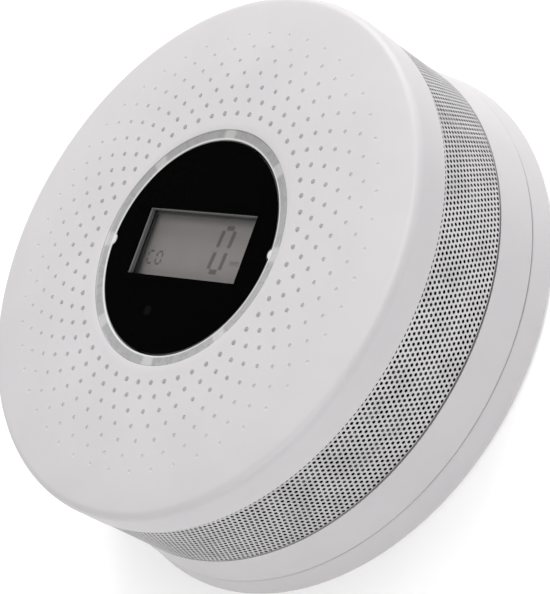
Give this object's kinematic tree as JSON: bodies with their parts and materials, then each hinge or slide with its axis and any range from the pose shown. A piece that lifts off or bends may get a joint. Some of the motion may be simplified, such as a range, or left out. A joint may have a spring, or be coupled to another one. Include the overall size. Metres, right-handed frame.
{
  "type": "carbon monoxide detector",
  "caption": "Round surface-mounted gas alarm with a twist-off head, a perforated vent band round its side, a clear light ring and a black display window that presses as the test button.",
  "frame": {"origin": "centre of the mounting plate's back face, on the wall", "axes": "+Z out of the wall through the front face, +Y to the top of the display, +X to its right"},
  "size_m": [0.12, 0.12, 0.0424],
  "materials": {
    "white_shell": "fine satin moulded plastic, off-white",
    "black_cage": "matt black moulded plastic",
    "perforated_steel": "satin perforated stainless sheet",
    "clear_ring": "frosted clear polycarbonate light guide",
    "lens": "clear polished overlay film",
    "black_print": "gloss black print under the clear film",
    "carrier": "matt grey moulded plastic",
    "black_plastic": "matt black moulded plastic",
    "display_glass": "grey reflective liquid crystal glass",
    "display_film": "diffusing film",
    "elastomer": "layered conductive elastomer",
    "board": "green solder mask over glass laminate",
    "led": "clear epoxy over a yellow phosphor",
    "chip": "matt black moulding compound with tinned legs",
    "small_parts": "ceramic with tinned ends",
    "capacitor": "sleeved aluminium can",
    "ferrite": "grey ferrite",
    "bright_metal": "nickel plate",
    "spring_steel": "nickel plated spring wire",
    "cell_jacket": "printed film jacket with bright ends",
    "zinc_steel": "bright zinc plate",
    "carbon": "pressed carbon cloth",
    "gold": "gold plate",
    "horn_plastic": "matt natural moulded plastic",
    "brass": "satin brass",
    "ceramic": "silvered ceramic",
    "lead_jacket": "vinyl insulation",
    "brown_plastic": "matt brown moulded plastic"
  },
  "bodies": {
    "mount": {"mounting_plate": "white_shell"},
    "head": {"rear_housing": "white_shell", "battery_door": "white_shell", "cells": "cell_jacket", "cell_springs": "spring_steel", "cell_contacts": "bright_metal", "battery_leads": "lead_jacket", "vent_cage": "black_cage", "mesh_band": "perforated_steel", "front_cover": "white_shell", "case_screws": "zinc_steel", "board_screws": "zinc_steel", "light_ring": "clear_ring", "circuit_board": "board", "ring_leds": "led", "status_led": "led", "controller_chip": "chip", "small_chips": "chip", "board_parts": "small_parts", "capacitors": "capacitor", "boost_coil": "ferrite", "crystal": "bright_metal", "display_bezel": "black_plastic", "display_glass": "display_glass", "display_reflector": "display_film", "display_strips": "elastomer", "sensor_can": "bright_metal", "sensor_cap": "bright_metal", "sensor_filter": "carbon", "sensor_pins": "gold", "horn_cup": "horn_plastic", "horn_lid": "horn_plastic", "horn_disc": "brass", "horn_ceramic": "ceramic", "horn_leads": "lead_jacket", "switch_body": "black_plastic", "button_springs": "spring_steel"},
    "button": {"window_lens": "lens", "window_print": "black_print", "button_carrier": "carrier"},
    "plunger": {"switch_plunger": "brown_plastic"}
  },
  "joints": [
    {"name": "head_twist", "type": "hinge", "parent": "mount", "child": "head", "pos_m": [0, 0, 0], "axis": [0, 0, 1], "range_deg": [0, 18]},
    {"name": "button_press", "type": "slide", "parent": "head", "child": "button", "axis": [0, 0, -1], "range_m": [0, 0.0007], "stiffness_N_per_m": 2500, "springref_m": -0.0004, "deforming": ["button_springs"]},
    {"name": "plunger_press", "type": "slide", "parent": "head", "child": "plunger", "axis": [0, 0, -1], "range_m": [0, 0.0007]}
  ],
  "couplings": [
    {"joint": "plunger_press", "follows": "button_press", "ratio": 1}
  ]
}
